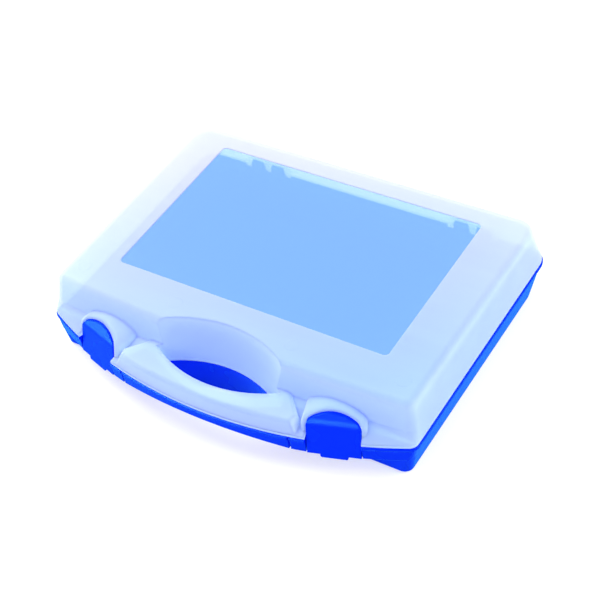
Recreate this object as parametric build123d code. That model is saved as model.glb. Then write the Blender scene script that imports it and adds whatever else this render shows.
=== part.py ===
from build123d import *
from math import asin, atan2, cos, degrees, radians, sin, sqrt
import os

# A flat carrying case for screwdriver bits: an opaque tray, a frosted lid with a
# polished window, a bow-shaped grip in front, two rocker latches and two pinned hinges.
# Millimetres. X runs along the grip, -Y is the front, Z is up.
# The origin is the middle of the underside of the whole closed case.

# Overall sizes
case_width = 250.0          # across the bead of the tray's rim
overall_depth = 201.7       # front of that bead to the back of the hinge barrels
tray_height = 23.0          # underside to the plane where tray and lid meet
lid_height = 27.6
wall = 2.0
parting_gap = 0.3           # seam between the two rims

# Bowed front, shared by both rims
bow_radius = 283.0
front_corner_radius = 5.5
back_corner_radius = 12.0
rim_bead = 0.7              # the bead on the tray's rim stands proud by this much
rim_bead_height = 1.8
rim_bead_bevel = 0.6        # upper edge of the bead
lid_band_height = 1.8       # upright band along the lid's rim

# Tray
tray_front_setback = 25.6   # bow front to the straight front wall
tray_front_lean = 0.8       # each wall leans in by its own amount from rim to floor
tray_side_lean = 4.5
tray_back_lean = 9.5
tray_foot_bevel = 1.6
tray_floor_bevel = 1.4      # inside, where the floor meets the walls
skirt_height = 10.0         # bowed skirt under the tray's rim
grip_arch = 3.2             # the skirt's lower edge rises by this much in mid grip
slit_width = 1.2            # slit between the grip and each latch ear
slit_depth = 1.4

# Lid
lid_side_lean = 3.8
lid_back_lean = 5.7
shelf_drop = 18.4           # top face to the crease where the front wall meets the shelf
lid_front_setback = 29.2    # bow front to the middle of the top face's front edge
lid_front_lean = 3.6        # from the crease up to the top face
lid_front_sag = 5.2         # the front wall is slightly bowed as well
top_edge_radius = 5.0

# Window, polished and slightly sunk
window_side_border = 33.0    # side of the case to the window
window_depth = 116.0
window_front_setback = 60.0  # bow front to the window's front edge
window_sink = 0.4
window_corner_radius = 3.0

# Finger recess, a cone whose axis stands in front of the bow
recess_axis_reach = 34.4
recess_radius = 69.0         # at the parting plane
lid_recess_lean = 8.3        # it widens by this much up to the top face
tray_recess_lean = 0.8       # and by this much down to the floor

# Grip
grip_rise = 10.9             # plateau of the grip above the parting plane
grip_half_length = 57.3
grip_shoulder_x = 58.6       # widest point of the plateau, from the middle
grip_shoulder_setback = 14.5  # and from the bow front
grip_root_x = 44.5           # where the plateau runs into the front wall
grip_root_setback = 30.5
grip_front_lean = 2.6        # the front face leans back by this much from rim to plateau
grip_end_lean = 4.6          # and the two ends by this much
grip_edge_radius = 2.5
hole_edge_bevel = 1.3
hole_front_setback = 12.6    # bow front to the hole's front edge
hole_half_width = 38.7
hole_front_sag = 10.1

# Latches, each square to the bow where it sits
latch_offset = 82.0          # middle of the case to the middle of each latch, along X
latch_width = 30.8
latch_thickness = 2.4
latch_side_gap = 0.6
latch_face_gap = 0.3
latch_fold_height = 10.2     # fold above the parting plane
latch_fold_setback = 5.0     # the front leans back by this much from foot to fold
latch_top_rise = 4.2         # above the fold, where the rounded top leans back
latch_top_angle = 45.0       # by this much from upright
latch_arch_radius = 30.0     # of the rounded top in front view
latch_shoulder_radius = 4.4  # where the rounded top runs into the sides
latch_fold_radius = 8.5      # of the latch's outer face
latch_lip_width = 16.0
latch_lip_length = 2.0
latch_lip_radius = 1.2
latch_pivot_setback = 3.5
latch_pivot_height = 2.9     # above the skirt's lower edge
latch_barrel_radius = 2.6
trunnion_radius = 1.5
trunnion_length = 2.6
trunnion_clearance = 0.05
trunnion_end_gap = 0.3
ear_thickness = 3.6
catch_width = 14.0
catch_reach = 1.8
catch_height = 2.2
catch_gap = 0.8
ledge_height = 2.4           # the lid's rim under the catch
boss_border = 3.4            # border of the latch boss on the lid, around the latch
boss_brow = 2.4              # and above its top
boss_sink = 0.5              # the border lies this much below the latch's face
boss_edge_radius = 2.2
boss_depth = 22.0

# Hinges
hinge_inset = 50.4           # side of the case to the middle of each hinge
lid_knuckle_width = 4.0
tray_knuckle_width = 10.4
knuckle_gap = 0.4
knuckle_radius = 3.2
knuckle_clearance = 0.45
hinge_setback = 1.0          # the axis lies behind the back rims
hinge_web_height = 9.0
hinge_web_start = 30.0       # the web leaves its barrel at this angle above the axis
lid_notch_height = 6.6       # notch in the lid's back wall over each of the tray's knuckles
hinge_pin_radius = 1.2
hinge_pin_clearance = 0.05
pin_end_gap = 0.3
blind_end = 1.6              # the pin's bore is closed at its inner end
lid_knuckles = (-1, 0, 1)    # places along the hinge, in steps from one lid knuckle to the next
tray_knuckles = (-0.5, 0.5)

# Places that follow from the sizes
bow_front = -overall_depth / 2 + rim_bead
bow_center = bow_front + bow_radius
hinge_offset = case_width / 2 - hinge_inset
hinge_y = overall_depth / 2 - knuckle_radius
back_rim = hinge_y - hinge_setback
knuckle_step = lid_knuckle_width + tray_knuckle_width + 2 * knuckle_gap
hinge_length = knuckle_step * (lid_knuckles[-1] - lid_knuckles[0]) + lid_knuckle_width
half_rim = case_width / 2 - rim_bead
window_width = case_width - 2 * window_side_border
tray_front = bow_front + tray_front_setback
tray_top = tray_height - parting_gap / 2
lid_bottom = tray_height + parting_gap / 2
case_top = tray_height + lid_height
crease = case_top - shelf_drop
skirt_bottom = tray_height - skirt_height
grip_top = tray_height + grip_rise
recess_axis = bow_front - recess_axis_reach
hole_radius = (hole_half_width**2 + hole_front_sag**2) / (2 * hole_front_sag)
hole_center = bow_front + hole_front_setback + hole_radius
latch_turn = degrees(asin(latch_offset / bow_radius))
latch_y = bow_center - bow_radius * cos(radians(latch_turn))
pivot_z = skirt_bottom + latch_pivot_height
fold_z = tray_height + latch_fold_height
latch_top = fold_z + latch_top_rise
pocket_width = latch_width + 2 * latch_side_gap
latch_slope = latch_fold_setback / (fold_z - skirt_bottom)
catch_low = lid_bottom + ledge_height + latch_face_gap
catch_back = latch_thickness + latch_slope * (catch_low - skirt_bottom) + catch_reach
past = 20.0                  # cutting shapes run past the material by this much
standing = (Align.CENTER, Align.CENTER, Align.MIN)  # a shape that stands on its own origin
behind = (Align.CENTER, Align.MAX, Align.MIN)       # and one that also ends at it towards the back


def bow_y_at(x):
    """Where the bow stands at a distance from the middle."""
    return bow_center - sqrt(bow_radius**2 - x**2)


def plan(z, half, back, front, sag, back_radius, front_radius):
    """Outline at height z: straight back and sides, and a front edge that bows out by sag."""
    left, right = (-half, front + sag), (half, front + sag)
    front_edge = ThreePointArc(left, (0, front), right) if sag else Line(left, right)
    sides = [Line(right, (half, back)), Line((half, back), (-half, back)), Line((-half, back), left)]
    face = make_face([front_edge, *sides])
    face = fillet(face.vertices().group_by(Axis.Y)[-1], back_radius)
    face = fillet(face.vertices().group_by(Axis.Y)[0], front_radius)
    return Pos(0, 0, z) * face


def rim_plan(z, inset=0.0):
    """Outline of the rims, with the bow across the whole front."""
    half = half_rim - inset
    radius = bow_radius - inset
    sag = radius - sqrt(radius**2 - half**2)
    return plan(z, half, back_rim - inset, bow_front + inset, sag,
                back_corner_radius - inset, front_corner_radius - inset)


def tray_walls(z, inset=0.0):
    """Where the tray's walls stand at height z: half width, back and front."""
    lean = (tray_height - z) / tray_height
    return (half_rim - lean * tray_side_lean - inset,
            back_rim - lean * tray_back_lean - inset,
            tray_front + lean * tray_front_lean + inset)


def lid_walls(z, inset=0.0):
    """Where the lid's walls stand at height z; the front wall is upright below the crease."""
    rise = (z - tray_height) / lid_height
    lean = max(0, (z - crease) / shelf_drop)
    return (half_rim - rise * lid_side_lean - inset,
            back_rim - rise * lid_back_lean - inset,
            bow_front + lid_front_setback - (1 - lean) * lid_front_lean + inset)


def round_column(low_radius, high_radius, height):
    """Standing cylinder, or cone where the two radii differ."""
    outline = Polyline((0, 0), (low_radius, 0), (high_radius, height), (0, height), close=True)
    return revolve(Plane.XZ * make_face(outline), Axis.Z)


def walled_block(walls, low, high, inset=0.0, sag=0.0):
    """Block between two heights with flat leaning walls; its front bows out by sag."""
    half, back, front = walls(low, inset)
    top_half, top_back, top_front = walls(high, inset)
    width = Polyline((-half, low), (half, low), (top_half, high), (-top_half, high), close=True)
    depth = Polyline((front, low), (back, low), (top_back, high), (top_front, high), close=True)
    block = extrude(Plane.XZ * make_face(width), amount=case_width, both=True)
    block &= extrude(Plane.YZ * make_face(depth), amount=case_width, both=True)
    if sag:
        radius = (half**2 + sag**2) / (2 * sag)
        bow = round_column(radius, radius + front - top_front, high - low)
        block &= Pos(0, front + radius, low) * bow
    for end, radius in ((-1, back_corner_radius - inset), (0, front_corner_radius - inset)):
        uprights = block.edges().filter_by(lambda edge: edge.bounding_box().size.Z > (high - low) / 2)
        block = fillet(uprights.group_by(Axis.Y)[end], radius)
    return block


def top_of(solid):
    return solid.faces().sort_by(Axis.Z)[-1]


def underside_of(solid):
    return solid.faces().sort_by(Axis.Z)[0]


def between(low, high):
    """Solid with straight rulings from one outline up to another."""
    return loft([low.face(), high.face()], ruled=True)


def mirrored_x(side, shape):
    return shape if side > 0 else mirror(shape, Plane.YZ)


def column(face, height):
    return extrude(face, amount=height)


def recess_cone(grow=0.0):
    """Finger recess through tray and lid, widening up and down from the parting plane."""
    radius = recess_radius + grow
    upper = round_column(radius, radius + lid_recess_lean, lid_height)
    lower = round_column(radius + tray_recess_lean, radius, tray_height)
    top = round_column(radius + lid_recess_lean, radius + lid_recess_lean, past)
    stack = lower + Pos(0, 0, tray_height) * upper + Pos(0, 0, case_top) * top
    return Pos(0, recess_axis, 0) * stack


def hole_behind_grip(grow=0.0):
    """The opening between grip and case: the recess, behind the grip's inner face."""
    inner_face = Cylinder(hole_radius + grow, 4 * past, align=(Align.CENTER, Align.CENTER, Align.CENTER))
    return recess_cone(grow) & (Pos(0, hole_center, tray_height) * inner_face)


def at_latch(side):
    """Local frame of a latch: X along the bow, -Y outward, origin on the bow at height 0."""
    return Location((side * latch_offset, latch_y, 0), (0, 0, side * latch_turn))


def latch_line(shift):
    """Side view of a face this far behind the latch's outer face: low end, fold, high end, as (y, z)."""
    front = atan2(latch_slope, 1)
    top = radians(latch_top_angle)
    middle = (front + top) / 2
    mitre = shift / cos((top - front) / 2)
    fold = Vector(latch_fold_setback + mitre * cos(middle), fold_z - mitre * sin(middle))
    low = fold - Vector(sin(front), cos(front)) * (past + fold_z - skirt_bottom)
    high = fold + Vector(sin(top), cos(top)) * past
    return [(point.X, point.Y) for point in (low, fold, high)]


def latch_section(points, width, rounded=()):
    """Prism along the latch's width with the given (y, z) corners.

    The folds at the rounded shifts behind the latch's face become concentric arcs.
    """
    face = make_face(Polyline(*points, close=True))
    for shift in rounded:
        fold = latch_line(shift)[1]
        corner = face.vertices().sort_by_distance((*fold, 0))[0]
        face = fillet(corner, latch_fold_radius - shift)
    return extrude(Plane.YZ * face, amount=width / 2, both=True)


def latch_front_view(side_grow=0.0, top_grow=0.0):
    """Straight sides and an arched top, seen square to the bow, as a prism along Y."""
    half = latch_width / 2 + side_grow
    radius = latch_arch_radius + top_grow
    corner = latch_top - latch_arch_radius + sqrt(radius**2 - half**2)
    sides = Polyline((-half, corner), (-half, skirt_bottom), (half, skirt_bottom), (half, corner))
    arch = ThreePointArc((half, corner), (0, latch_top + top_grow), (-half, corner))
    face = make_face([*sides.edges(), arch])
    face = fillet(face.vertices().group_by(Axis.Y)[-1], latch_shoulder_radius + side_grow)
    return extrude(Plane.XZ * face, amount=2 * past, both=True)


def latch_boss(shrink=0.0):
    """Boss on the lid that frames the latch, before the latch's pocket is cut."""
    low, fold, high = latch_line(boss_sink + shrink)
    points = [low, fold, high, (boss_depth, high[1]), (boss_depth, low[1])]
    view = latch_front_view(boss_border - shrink, boss_brow - shrink)
    return latch_section(points, 2 * case_width, [] if shrink else [boss_sink]) & view


def round_boss():
    """The boss with its front outline rounded."""
    boss = latch_boss()
    front = boss.faces().filter_by(lambda face: face.normal_at().Y < 0 and face.center().Y < boss_depth / 2)
    edges = ShapeList(edge for face in front for edge in face.edges())
    folds = edges.filter_by(Axis.X)
    outline = [edge for edge in edges if edge not in folds and edge.center().Z > tray_height]
    return fillet(outline, boss_edge_radius)


def latch_pocket(grow=0.0):
    """Room for the closed latch in the lid; grown by a wall it is the material around that room."""
    face = latch_thickness + latch_face_gap
    low, fold, high = latch_line(face + grow)
    points = [low, fold, high, (-past, high[1]), (-past, low[1])]
    room = latch_section(points, 2 * case_width, [face] if grow == 0 else [])
    return room & latch_front_view(latch_side_gap + grow, latch_side_gap + grow)


def catch_slot():
    """Slot above the lid's rim for the latch's catch."""
    height = latch_face_gap + catch_height + catch_gap
    slot = Box(catch_width + 2 * catch_gap, past, height, align=behind)
    return Pos(0, catch_back + catch_gap, lid_bottom + ledge_height) * slot


def make_latch(side):
    points = [*latch_line(0), *reversed(latch_line(latch_thickness))]
    lip = Pos(0, skirt_bottom + latch_lip_length) * RectangleRounded(
        latch_lip_width, 4 * latch_lip_length, latch_lip_radius)
    outline = latch_front_view() + extrude(Plane.XZ * lip, amount=2 * past, both=True)
    latch = latch_section(points, 2 * case_width, [0, latch_thickness]) & outline
    pivot = Pos(0, latch_pivot_setback, pivot_z) * Rot(0, 90, 0)
    trunnions = latch_width + 2 * (latch_side_gap + trunnion_length - trunnion_end_gap)
    latch += pivot * Cylinder(latch_barrel_radius, latch_width)
    latch += pivot * Cylinder(trunnion_radius, trunnions)
    catch = Box(catch_width, catch_reach + latch_thickness / 2, catch_height, align=behind)
    latch += Pos(0, catch_back, catch_low) * catch
    return at_latch(side) * latch


def knuckle(side, place, width, direction, shell_lean):
    """One hinge barrel with its web, up the lid's wall (direction 1) or down the tray's (-1)."""
    x = side * hinge_offset + place * knuckle_step
    barrel = Rot(0, 90, 0) * Cylinder(knuckle_radius, width)
    reach = hinge_web_height * direction
    seam = direction * parting_gap / 2
    foot_y = -hinge_setback - shell_lean * hinge_web_height
    start = radians(hinge_web_start)
    points = [
        (knuckle_radius * cos(start), direction * knuckle_radius * sin(start)),
        (foot_y, reach), (foot_y - wall / 2, reach), (-hinge_setback - wall, seam), (0, seam),
    ]
    web = extrude(Plane.YZ * make_face(Polyline(*points, close=True)), amount=width / 2, both=True)
    return Pos(x, hinge_y, tray_height) * (barrel + web)


def knuckle_room(side, place, width):
    """Cut-out in the other shell for one knuckle."""
    x = side * hinge_offset + place * knuckle_step
    room = Rot(0, 90, 0) * Cylinder(knuckle_radius + knuckle_clearance, width + 2 * knuckle_gap)
    return Pos(x, hinge_y, tray_height) * room


def notch_lid(lid):
    """Cuts the lid's back wall away over the tray's knuckles, so that they show through it."""
    notch = Box(tray_knuckle_width + 2 * knuckle_gap, past, 2 * lid_notch_height)
    for side in (-1, 1):
        for place in tray_knuckles:
            lid -= Pos(side * hinge_offset + place * knuckle_step, hinge_y, tray_height) * notch
    return lid


def pin_bore(side):
    """Bore for the hinge pin, open at its outer end and blind at its inner end."""
    inner_end = hinge_offset - hinge_length / 2 + blind_end
    bore = Rot(0, 90, 0) * Cylinder(
        hinge_pin_radius + hinge_pin_clearance, hinge_length, align=standing)
    return Pos(0, hinge_y, tray_height) * mirrored_x(side, Pos(inner_end, 0, 0) * bore)


def hang(shell, own, own_width, other, other_width, direction, shell_lean):
    """Gives a shell its hinge knuckles and the room for the other shell's."""
    for side in (-1, 1):
        for place in other:
            shell -= knuckle_room(side, place, other_width)
        for place in own:
            shell += knuckle(side, place, own_width, direction, shell_lean)
        shell -= pin_bore(side)
    return shell


def make_hinge_pin(side):
    inner_end = hinge_offset - hinge_length / 2 + blind_end + pin_end_gap
    length = hinge_offset + hinge_length / 2 - inner_end
    pin = Rot(0, 90, 0) * Cylinder(hinge_pin_radius, length, align=standing)
    return Pos(0, hinge_y, tray_height) * mirrored_x(side, Pos(inner_end, 0, 0) * pin)


def grip_arch_tool(grow=0.0):
    """Cylinder under the grip that lifts the skirt's lower edge in the middle."""
    radius = (grip_half_length**2 + grip_arch**2) / (2 * grip_arch)
    tool = Rot(90, 0, 0) * Cylinder(radius + grow, 4 * past)
    return Pos(0, bow_front, skirt_bottom + grip_arch - radius) * tool


def latch_ears():
    """Solid blocks in the tray's front that carry the latches."""
    block = Box(pocket_width + 2 * ear_thickness, 2 * past, skirt_height, align=standing)
    return Part() + [at_latch(side) * Pos(0, 0, skirt_bottom) * block for side in (-1, 1)]


def latch_room_in_tray():
    """Pockets through the front channel, and the bores for the trunnions."""
    pocket = Box(pocket_width, 3 * past, 2 * skirt_height)
    bore = Rot(0, 90, 0) * Cylinder(
        trunnion_radius + trunnion_clearance, pocket_width + 2 * trunnion_length)
    pair = Pos(0, 0, tray_height) * pocket
    bores = Pos(0, latch_pivot_setback, pivot_z) * bore
    pockets = Part() + [at_latch(side) * pair for side in (-1, 1)]
    holes = Part() + [at_latch(side) * bores for side in (-1, 1)]
    return pockets, holes


def tray_bead():
    """Bead around the tray's rim."""
    low = tray_top - rim_bead_height
    bead = column(rim_plan(low, -rim_bead), rim_bead_height)
    bead = chamfer(top_of(bead).edges(), rim_bead_bevel)
    return bead - column(rim_plan(low, wall), rim_bead_height)


def make_tray():
    prism = column(rim_plan(0), tray_top)
    walls = walled_block(tray_walls, 0, tray_top) & prism
    walls = chamfer(underside_of(walls).edges(), tray_foot_bevel)
    skirt = column(rim_plan(skirt_bottom), tray_top - skirt_bottom)
    front_zone = Pos(0, tray_front + wall / 2, 0) * Box(
        2 * case_width, 4 * past, 4 * past, align=(Align.CENTER, Align.MAX, Align.CENTER))
    skirt = (skirt & front_zone) - grip_arch_tool()
    channel = column(rim_plan(skirt_bottom + wall, wall), skirt_height) & front_zone
    channel -= walls + grip_arch_tool(wall) + hole_behind_grip(wall) + latch_ears()
    pockets, bores = latch_room_in_tray()
    skirt -= channel + (pockets - walls)
    storage = walled_block(tray_walls, wall, tray_height, wall)
    storage = chamfer(underside_of(storage).edges(), tray_floor_bevel) - recess_cone(wall)
    tray = walls + skirt + (tray_bead() - pockets) - storage - hole_behind_grip() - bores
    slit = Box(slit_width, 2 * slit_depth, 2 * skirt_height)
    for side in (-1, 1):
        tray -= Pos(side * grip_half_length, bow_y_at(grip_half_length), tray_height) * slit
    return hang(tray, tray_knuckles, tray_knuckle_width, lid_knuckles, lid_knuckle_width,
                -1, tray_back_lean / tray_height)


def grip_sides(z, inset=0.0):
    """Outline of the grip's ends at height z, drawn on past the bow in front."""
    drop = (grip_top - z) / (grip_top - lid_bottom)
    spread = grip_end_lean * drop - inset
    end = Vector(grip_half_length + spread, bow_y_at(grip_half_length))
    shoulder = Vector(grip_shoulder_x + spread, bow_front + grip_shoulder_setback)
    root = Vector(grip_root_x + spread, bow_front + grip_root_setback)
    right = [(point.X, point.Y) for point in (2 * end - shoulder, shoulder, root)]
    left = [(-x, y) for x, y in right]
    return Pos(0, 0, z) * make_face(Polyline(*right, *reversed(left), close=True))


def grip_block(high, inset=0.0):
    """Upper half of the grip up to a height; it narrows from the rim to the plateau."""
    sides = between(grip_sides(lid_bottom, inset), grip_sides(high, inset))
    lean = grip_front_lean * (high - lid_bottom) / (grip_top - lid_bottom)
    radius = bow_radius - inset
    return sides & Pos(0, bow_center, lid_bottom) * round_column(radius, radius - lean, high - lid_bottom)


def make_grip():
    """Upper half of the grip, rounded where the hand lies."""
    grip = grip_block(grip_top)
    grip = fillet(top_of(grip).edges().sort_by(Axis.Y)[:-1], grip_edge_radius)
    grip -= hole_behind_grip()
    round_edges = top_of(grip).edges().filter_by(GeomType.CIRCLE)
    hole_edge = min(round_edges, key=lambda edge: abs(edge.radius - hole_radius))
    return chamfer(hole_edge, hole_edge_bevel)


def bevelled_room(low, high):
    """Inside of the lid above the crease, its top edges cut back so that the wall stays even."""
    room = walled_block(lid_walls, low, high - wall, wall, lid_front_sag)
    narrowed = walled_block(lid_walls, high - wall, high, 2 * wall, lid_front_sag)
    return room + between(top_of(room), top_of(narrowed))


def make_lid():
    upper = walled_block(lid_walls, crease, case_top, 0, lid_front_sag)
    upper = fillet(top_of(upper).edges(), top_edge_radius)
    shelf = between(rim_plan(lid_bottom + lid_band_height), underside_of(upper))
    band = column(rim_plan(lid_bottom), lid_band_height)
    shell = upper + shelf - recess_cone() + band + make_grip()
    for side in (-1, 1):
        shell += at_latch(side) * round_boss()
    shell &= column(rim_plan(lid_bottom), lid_height)

    divider = walled_block(lid_walls, lid_bottom, crease, 0, lid_front_sag) + upper
    storage = walled_block(lid_walls, lid_bottom, crease, wall, lid_front_sag)
    storage += bevelled_room(crease, case_top - wall)
    storage -= recess_cone(wall)

    under_shelf = walled_block(lid_walls, crease - wall, crease, wall, lid_front_sag)
    channel = between(rim_plan(lid_bottom, wall), underside_of(under_shelf))
    channel += grip_block(grip_top - wall, wall)
    for side in (-1, 1):
        channel += at_latch(side) * latch_boss(wall)
    channel &= column(rim_plan(lid_bottom, wall), lid_height)
    keep = divider + hole_behind_grip(wall)
    for side in (-1, 1):
        keep += at_latch(side) * latch_pocket(wall)
    channel -= keep

    shell -= storage + channel + hole_behind_grip()
    for side in (-1, 1):
        shell -= at_latch(side) * (latch_pocket() + catch_slot())
    window = Pos(0, bow_front + window_front_setback, case_top) * extrude(
        Pos(0, window_depth / 2) * RectangleRounded(window_width, window_depth, window_corner_radius),
        amount=-window_sink)
    shell -= window
    return hang(notch_lid(shell), lid_knuckles, lid_knuckle_width, tray_knuckles, tray_knuckle_width,
                1, lid_back_lean / lid_height)


parts = {
    "tray": make_tray(),
    "lid": make_lid(),
}
for side, name in ((-1, "left"), (1, "right")):
    parts[f"latch_{name}"] = make_latch(side)
    parts[f"hinge_pin_{name}"] = make_hinge_pin(side)

os.makedirs("parts", exist_ok=True)
for name, solid in parts.items():
    export_step(solid, f"parts/{name}.step")
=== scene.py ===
import bpy
from math import radians
from mathutils import Matrix, Vector


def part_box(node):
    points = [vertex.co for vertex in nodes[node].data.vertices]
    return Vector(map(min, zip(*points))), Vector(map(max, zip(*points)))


# A plastic case for screwdriver bits: blue tray and latches, frosted lid with a clear window.
# Metres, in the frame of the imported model.

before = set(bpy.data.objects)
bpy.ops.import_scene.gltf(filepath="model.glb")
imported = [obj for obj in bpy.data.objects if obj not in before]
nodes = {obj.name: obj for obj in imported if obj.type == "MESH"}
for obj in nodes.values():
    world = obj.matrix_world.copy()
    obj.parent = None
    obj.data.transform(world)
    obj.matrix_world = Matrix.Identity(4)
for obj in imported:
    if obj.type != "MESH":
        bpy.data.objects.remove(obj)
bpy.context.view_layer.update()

# The pieces other than the lid, by what they are made of
blue_pieces = ("tray", "latch_left", "latch_right")
steel_pieces = ("hinge_pin_left", "hinge_pin_right")
smooth_angle = 30.0             # faces that meet at less than this are shaded as one round surface

# Camera, as fitted to the photograph
camera_place = (0.40273, -0.50356, 0.64717)
camera_azimuth = 38.126
camera_elevation = 44.312
camera_roll = 9.608
camera_lens = 89.83
camera_reach = 20.0             # nothing farther away is drawn
sensor_width = 36.0

# Colours, linear
white = (1.0, 1.0, 1.0)
tray_blue = (0.0, 0.014, 1.0)
tray_shine = (0.10, 0.62, 1.0)          # of the light that the blue plastic mirrors
# The frost's colour at the back, and at the front with the blue glow of the tray painted in
frost_back = (0.79, 0.84, 1.0)
frost_front_painted_glow = (0.54, 0.79, 1.0)
# Painted light on the walls of the frost, most of all at the front
frost_wall_painted_light = (0.66, 0.90, 1.0)
# Painted glow of the blue tray on the frost low down at the front
frost_low_painted_glow = (0.71, 0.90, 1.0)
# The window's milky haze, with the blue light of the tray below painted in
window_haze_and_painted_glow = (0.45, 0.945, 1.0)
steel_grey = (0.55, 0.56, 0.58)
floor_white = (0.60, 0.60, 0.60)

# Relief and noise of all surfaces
texture_height = 0.0002         # depth of the eroded texture and of the mould's marks
noise_detail = 2.0

# Moulded blue plastic
blue_roughness = (0.22, 0.32)   # from the smoother to the duller patches
blue_patch_grain = 45.0
blue_texture_grain = 2600.0
blue_texture_strength = 0.18
blue_edge_radius = 0.0006
blue_gloss_index = 1.33

# Steel wire
steel_roughness = (0.28, 0.42)
steel_grain = 900.0

# Frosted and polished plastic of the lid
frost_roughness = 0.55
window_roughness = 0.16
frost_texture_grain = 2200.0
frost_texture_strength = 0.15
frost_edge_radius = 0.0025
lid_gloss_index = 1.45
lid_gloss_share = 0.6           # of the gloss that this index alone would give

# The window in the lid's top face
lid_low, lid_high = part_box("lid")
window_middle_y = 0.01785
window_half = (0.092, 0.058)
window_radius = 0.003
window_edge = 0.0004            # width over which the frost fades into the polish
top_depth = 0.004               # the lid's top face, sunk window included, lies within this depth

# Faint round marks on the lid's front border, left by the gates and ejector pins of the mould
mark_places = ((0.0398, -0.05495), (0.1088, -0.05205))
mark_radius = 0.0042
mark_edge = 0.0003
mark_strength = 0.6

# Where the frost changes its colour, by the painted glow of the tray and the painted light on the walls
rim_height = 0.02315            # underside of the lid's rim
band_top = 0.0249               # top of the upright band along the rim
low_height = 0.018              # the painted glow low at the front fades out over this height above the rim
low_depth = 0.030               # and over this depth behind the front
sideways_share = 0.45           # the change to the back colour runs to the left by this much too
wall_slope = (0.1, 0.5)         # where a face starts to be a wall and is one in full (0 level, 1 upright)

# How much a wall of the lid hides what is behind it, and how much of its light comes through
frost_cover = (0.76, 0.85)      # between the streaks and on them
back_cover = 0.09               # this much more towards the back
band_cover = 0.96
window_cover = 0.52
glow_through = 0.40
streak_scale = (9.0, 70.0, 70.0)        # noise cells per metre, fewer along the case

# Light and floor
world_light = 0.76              # on the object
world_seen = 1.0                # as the camera and the reflections see it
floor_size = 8.0
floor_drop = 0.0002             # just below the case
floor_glow = 0.53               # added for the camera and the reflections, up to white

# Lamps, all aimed at the floor under the middle of the case: name, place, size and watts
lamps = (
    ("key_left", (-1.0, 0.2, 1.1), 0.9, 15.0),
    ("key_right", (1.1, 0.4, 0.9), 0.9, 13.0),
    ("fill_front_left", (-0.85, -1.05, 0.60), 0.4, 5.0),
)

# Wide cards that show only as a sheen on the blue pieces
card_size = 1.0
card_power = 42.0
card_places = {
    "card_front_left": (-1.11, -1.07, 0.52),
    "card_front": (-0.25, -1.55, 0.42),
}


# Short ways to build node trees

def new_material(name):
    """An empty material, its node tree and its output node."""
    material = bpy.data.materials.new(name)
    material.use_nodes = True
    tree = material.node_tree
    tree.nodes.clear()
    output = tree.nodes.new("ShaderNodeOutputMaterial")
    return material, tree, output


def feed(tree, socket, value):
    """Gives an input socket the output of another node, a plain number or vector, or a colour."""
    if hasattr(value, "links"):
        tree.links.new(value, socket)
    elif socket.type == "RGBA":
        socket.default_value = (*value, 1.0)
    else:
        socket.default_value = value


def add(tree, kind, **values):
    """Adds a node; values name its input sockets, with spaces written as underscores."""
    node = tree.nodes.new(kind)
    for name, value in values.items():
        feed(tree, node.inputs[name.replace("_", " ")], value)
    return node


def calculate(tree, operation, first, second=0.0):
    """The result of an operation on one or two numbers."""
    node = tree.nodes.new("ShaderNodeMath")
    node.operation = operation
    feed(tree, node.inputs[0], first)
    feed(tree, node.inputs[1], second)
    return node.outputs[0]


def distance(tree, across, along):
    """The straight distance over two distances at right angles to each other."""
    squares = calculate(tree, "ADD", calculate(tree, "MULTIPLY", across, across),
                        calculate(tree, "MULTIPLY", along, along))
    return calculate(tree, "SQRT", squares)


def ramp(tree, value, start, end):
    """0 below the start, 1 above the end, even in between."""
    node = add(tree, "ShaderNodeMapRange", Value=value)
    node.inputs["From Min"].default_value = start
    node.inputs["From Max"].default_value = end
    return node.outputs["Result"]


def blend(tree, factor, first, second):
    """Mix of two numbers."""
    node = add(tree, "ShaderNodeMix", Factor=factor, A=first, B=second)
    return node.outputs["Result"]


def blend_colour(tree, factor, first, second):
    """Mix of two colours."""
    node = tree.nodes.new("ShaderNodeMix")
    node.data_type = "RGBA"
    colour_in = [socket for socket in node.inputs if socket.type == "RGBA"]
    colour_out = [socket for socket in node.outputs if socket.type == "RGBA"]
    feed(tree, node.inputs[0], factor)
    feed(tree, colour_in[0], first)
    feed(tree, colour_in[1], second)
    return colour_out[0]


def blend_shader(tree, factor, first, second):
    """Mix of two shaders."""
    node = tree.nodes.new("ShaderNodeMixShader")
    for socket, value in zip(node.inputs, (factor, first, second)):
        feed(tree, socket, value)
    return node.outputs[0]


def object_axes(tree, output="Object"):
    """The place on the object in metres, or its normal, as three numbers."""
    place = tree.nodes.new("ShaderNodeTexCoord")
    axes = tree.nodes.new("ShaderNodeSeparateXYZ")
    tree.links.new(place.outputs[output], axes.inputs[0])
    return axes.outputs


def grain(tree, scale):
    """Fine noise on the object."""
    place = tree.nodes.new("ShaderNodeTexCoord")
    noise = add(tree, "ShaderNodeTexNoise", Vector=place.outputs["Object"], Scale=scale, Detail=noise_detail)
    return noise.outputs["Fac"]


def streaks(tree):
    """Broad soft streaks along the case, as the melt flowed in the mould."""
    place = tree.nodes.new("ShaderNodeTexCoord")
    stretched = add(tree, "ShaderNodeMapping", Vector=place.outputs["Object"], Scale=streak_scale)
    noise = add(tree, "ShaderNodeTexNoise", Vector=stretched.outputs[0], Scale=1.0, Detail=noise_detail)
    return noise.outputs["Fac"]


def soft_edges(tree, radius):
    """Rounds the look of edges that the solid leaves crisp."""
    return add(tree, "ShaderNodeBevel", Radius=radius).outputs["Normal"]


def bump(tree, height, strength, base):
    """A fine relief on top of the base normal."""
    node = add(tree, "ShaderNodeBump", Height=height, Strength=strength, Distance=texture_height,
               Normal=base)
    return node.outputs["Normal"]


def seen(tree, *rays):
    """1 for the named kinds of rays, 0 for the light that falls on the object."""
    path = tree.nodes.new("ShaderNodeLightPath")
    result = path.outputs[rays[0]]
    for ray in rays[1:]:
        result = calculate(tree, "MAXIMUM", result, path.outputs[ray])
    return result


# Blue plastic and steel

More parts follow.
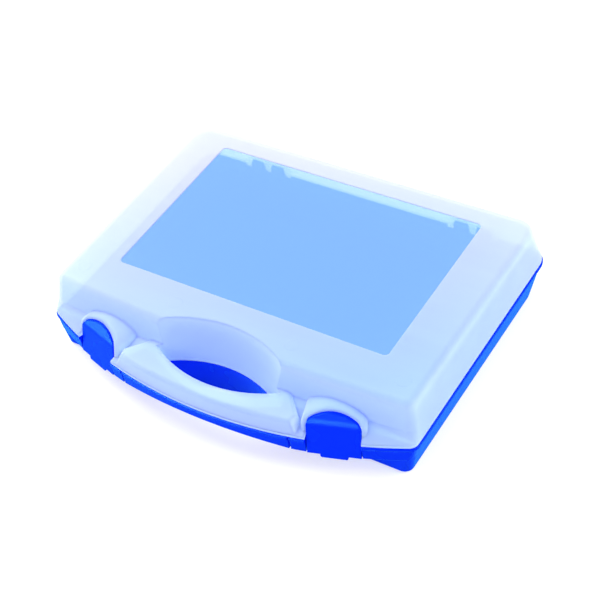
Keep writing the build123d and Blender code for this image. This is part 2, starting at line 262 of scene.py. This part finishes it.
def moulded_blue():
    """Opaque polypropylene: satin, with a fine eroded texture and slightly duller patches."""
    material, tree, output = new_material("moulded_blue")
    normal = bump(tree, grain(tree, blue_texture_grain), blue_texture_strength,
                  soft_edges(tree, blue_edge_radius))
    roughness = blend(tree, grain(tree, blue_patch_grain), *blue_roughness)
    body = add(tree, "ShaderNodeBsdfPrincipled", Base_Color=tray_blue, Roughness=roughness,
               Normal=normal, Specular_IOR_Level=0.0)
    gloss = add(tree, "ShaderNodeBsdfGlossy", Color=tray_shine, Roughness=roughness, Normal=normal)
    edge = add(tree, "ShaderNodeFresnel", IOR=blue_gloss_index, Normal=normal)
    both = blend_shader(tree, edge.outputs[0], body.outputs[0], gloss.outputs[0])
    tree.links.new(both, output.inputs["Surface"])
    return material


def steel_wire():
    """Drawn wire, as bright as it comes off the reel."""
    material, tree, output = new_material("steel_wire")
    roughness = blend(tree, grain(tree, steel_grain), *steel_roughness)
    shader = add(tree, "ShaderNodeBsdfPrincipled", Base_Color=steel_grey, Metallic=1.0,
                 Roughness=roughness)
    tree.links.new(shader.outputs["BSDF"], output.inputs["Surface"])
    return material


# The lid

def window_mask(tree, axes):
    """1 inside the rounded outline of the window, on the lid's top only."""
    across = calculate(tree, "ABSOLUTE", axes["X"])
    along = calculate(tree, "ABSOLUTE", calculate(tree, "SUBTRACT", axes["Y"], window_middle_y))
    past_x = calculate(tree, "SUBTRACT", across, window_half[0] - window_radius)
    past_y = calculate(tree, "SUBTRACT", along, window_half[1] - window_radius)
    corner = distance(tree, calculate(tree, "MAXIMUM", past_x, 0.0), calculate(tree, "MAXIMUM", past_y, 0.0))
    outside = calculate(tree, "SUBTRACT", corner, window_radius)
    inside = ramp(tree, calculate(tree, "MULTIPLY", outside, -1.0), 0.0, window_edge)
    on_top = calculate(tree, "GREATER_THAN", axes["Z"], lid_high[2] - top_depth)
    return calculate(tree, "MULTIPLY", inside, on_top)


def mould_marks(tree, axes):
    """Height of the round marks: 1 inside each, 0 elsewhere."""
    across = calculate(tree, "ABSOLUTE", axes["X"])
    height = 0.0
    for place_x, place_y in mark_places:
        side = calculate(tree, "SUBTRACT", across, place_x)
        along = calculate(tree, "SUBTRACT", axes["Y"], place_y)
        inside = calculate(tree, "SUBTRACT", mark_radius, distance(tree, side, along))
        height = calculate(tree, "MAXIMUM", height, ramp(tree, inside, 0.0, mark_edge))
    return height


def wall_mask(tree):
    """1 on upright and leaning walls and on undersides, 0 on faces that look straight up."""
    normal = object_axes(tree, "Normal")
    return ramp(tree, calculate(tree, "SUBTRACT", 1.0, normal["Z"]), *wall_slope)


def depth_mask(tree, axes):
    """0 at the front and right of the lid, 1 at the back and left."""
    slant = calculate(tree, "SUBTRACT", axes["Y"], calculate(tree, "MULTIPLY", axes["X"], sideways_share))
    return ramp(tree, slant, lid_low[1], lid_high[1])


def lid_cover(tree, window, band, depth):
    """How much the wall hides: most in the band along the rim, least in the window."""
    frosted = blend(tree, streaks(tree), *frost_cover)
    frosted = calculate(tree, "ADD", frosted, calculate(tree, "MULTIPLY", depth, back_cover))
    return blend(tree, window, blend(tree, band, frosted, band_cover), window_cover)


def lid_tint(tree, axes, window, band, depth):
    """Colour of the frost and of the window's haze, with painted light: the tray's blue glow painted in at
    the front and low down, and the walls painted in a lighter tint.
    """
    above = ramp(tree, axes["Z"], rim_height, rim_height + low_height)
    behind = ramp(tree, axes["Y"], lid_low[1], lid_low[1] + low_depth)
    away = calculate(tree, "MAXIMUM", calculate(tree, "MAXIMUM", above, behind), band)
    wall = calculate(tree, "MULTIPLY", wall_mask(tree), calculate(tree, "SUBTRACT", 1.0, depth))
    # Painted glow: the tray's blue light is painted in towards the front and right, fading to the back
    # colour
    frost = blend_colour(tree, depth, frost_front_painted_glow, frost_back)
    # Painted light: the walls get a lighter tint than the shade they lie in, most of all at the front
    frost = blend_colour(tree, wall, frost, frost_wall_painted_light)
    # Painted glow: the frost low down at the front, on the grip and the feet of the bosses, takes the tray's
    # blue light
    frost = blend_colour(tree, away, frost_low_painted_glow, frost)
    # The window's haze, with the tray's blue glow painted in
    return blend_colour(tree, window, frost, window_haze_and_painted_glow)


def frosted_lid():
    """Natural polypropylene, frosted by its mould, with a polished window in the top face."""
    material, tree, output = new_material("frosted_polypropylene")
    axes = object_axes(tree)
    window = window_mask(tree, axes)
    band = calculate(tree, "LESS_THAN", axes["Z"], band_top)
    depth = depth_mask(tree, axes)
    cover = lid_cover(tree, window, band, depth)
    tint = lid_tint(tree, axes, window, band, depth)
    normal = bump(tree, grain(tree, frost_texture_grain), frost_texture_strength,
                  soft_edges(tree, frost_edge_radius))
    normal = bump(tree, mould_marks(tree, axes), mark_strength, normal)
    # Part of the light that enters the sheet comes back, part glows through it
    scattered = add(tree, "ShaderNodeBsdfDiffuse", Color=tint, Normal=normal)
    through = add(tree, "ShaderNodeBsdfTranslucent", Color=tint, Normal=normal)
    body = blend_shader(tree, glow_through, scattered.outputs[0], through.outputs[0])
    clear = add(tree, "ShaderNodeBsdfTransparent", Color=white)
    sheet = blend_shader(tree, cover, clear.outputs[0], body)
    roughness = blend(tree, window, frost_roughness, window_roughness)
    gloss = add(tree, "ShaderNodeBsdfGlossy", Color=white, Roughness=roughness, Normal=normal)
    edge = add(tree, "ShaderNodeFresnel", IOR=lid_gloss_index, Normal=normal)
    shine = calculate(tree, "MULTIPLY", edge.outputs[0], lid_gloss_share)
    surface = blend_shader(tree, shine, sheet, gloss.outputs[0])
    # A wall has two faces; only the one towards the viewer scatters, so that it counts once
    side = tree.nodes.new("ShaderNodeNewGeometry")
    once = blend_shader(tree, side.outputs["Backfacing"], surface, clear.outputs[0])
    tree.links.new(once, output.inputs["Surface"])
    return material


# Pieces, camera, light and floor

def dress(name, material):
    """Gives the piece its material, and smooth shading so that its fillets read as round."""
    for slot in nodes[name].material_slots:
        slot.material = material
    mesh = nodes[name].data
    mesh.shade_smooth()
    mesh.set_sharp_from_angle(angle=radians(smooth_angle))


def make_camera():
    """The camera of the photograph."""
    data = bpy.data.cameras.new("photo_camera")
    data.lens = camera_lens
    data.sensor_width = sensor_width
    data.clip_end = camera_reach
    camera = bpy.data.objects.new("photo_camera", data)
    bpy.context.collection.objects.link(camera)
    turn = (Matrix.Rotation(radians(camera_azimuth), 4, "Z")
            @ Matrix.Rotation(radians(90.0 - camera_elevation), 4, "X")
            @ Matrix.Rotation(radians(-camera_roll), 4, "Z"))
    camera.matrix_world = Matrix.Translation(camera_place) @ turn
    bpy.context.scene.camera = camera


def make_world():
    """White to the camera and in reflections, a plain soft level on everything else."""
    world = bpy.data.worlds.new("studio")
    bpy.context.scene.world = world
    world.use_nodes = True
    tree = world.node_tree
    tree.nodes.clear()
    output = tree.nodes.new("ShaderNodeOutputWorld")
    shown = seen(tree, "Is Camera Ray", "Is Transmission Ray", "Is Glossy Ray")
    strength = blend(tree, shown, world_light, world_seen)
    background = add(tree, "ShaderNodeBackground", Color=white, Strength=strength)
    tree.links.new(background.outputs[0], output.inputs["Surface"])


def make_floor():
    """A pale floor that keeps the case's shadow and is lifted to white where it is seen."""
    bpy.ops.mesh.primitive_plane_add(size=floor_size, location=(0.0, 0.0, -floor_drop))
    floor = bpy.context.object
    floor.name = "floor"
    material, tree, output = new_material("floor_white")
    matt = add(tree, "ShaderNodeBsdfDiffuse", Color=floor_white)
    shown = seen(tree, "Is Camera Ray", "Is Glossy Ray")
    glow = add(tree, "ShaderNodeEmission", Color=white,
               Strength=calculate(tree, "MULTIPLY", shown, floor_glow))
    both = tree.nodes.new("ShaderNodeAddShader")
    tree.links.new(matt.outputs[0], both.inputs[0])
    tree.links.new(glow.outputs[0], both.inputs[1])
    tree.links.new(both.outputs[0], output.inputs["Surface"])
    floor.data.materials.append(material)


def area_light(name, place, size, power):
    """A square lamp aimed at the floor under the middle of the case."""
    light = bpy.data.lights.new(name, "AREA")
    light.shape = "SQUARE"
    light.size = size
    light.energy = power
    lamp = bpy.data.objects.new(name, light)
    bpy.context.collection.objects.link(lamp)
    lamp.location = place
    lamp.rotation_euler = (-Vector(place)).to_track_quat("-Z", "Y").to_euler()
    return lamp


def make_cards():
    """The cards light the blue pieces alone, and only their gloss."""
    receivers = bpy.data.collections.new("blue_pieces")
    for name in blue_pieces:
        receivers.objects.link(nodes[name])
    for name, place in card_places.items():
        card = area_light(name, place, card_size, card_power)
        card.visible_diffuse = False
        card.light_linking.receiver_collection = receivers


blue = moulded_blue()
steel = steel_wire()
for name in blue_pieces:
    dress(name, blue)
for name in steel_pieces:
    dress(name, steel)
dress("lid", frosted_lid())

make_camera()
make_world()
make_floor()
for lamp_values in lamps:
    area_light(*lamp_values)
make_cards()
bpy.context.scene.view_settings.view_transform = "Standard"
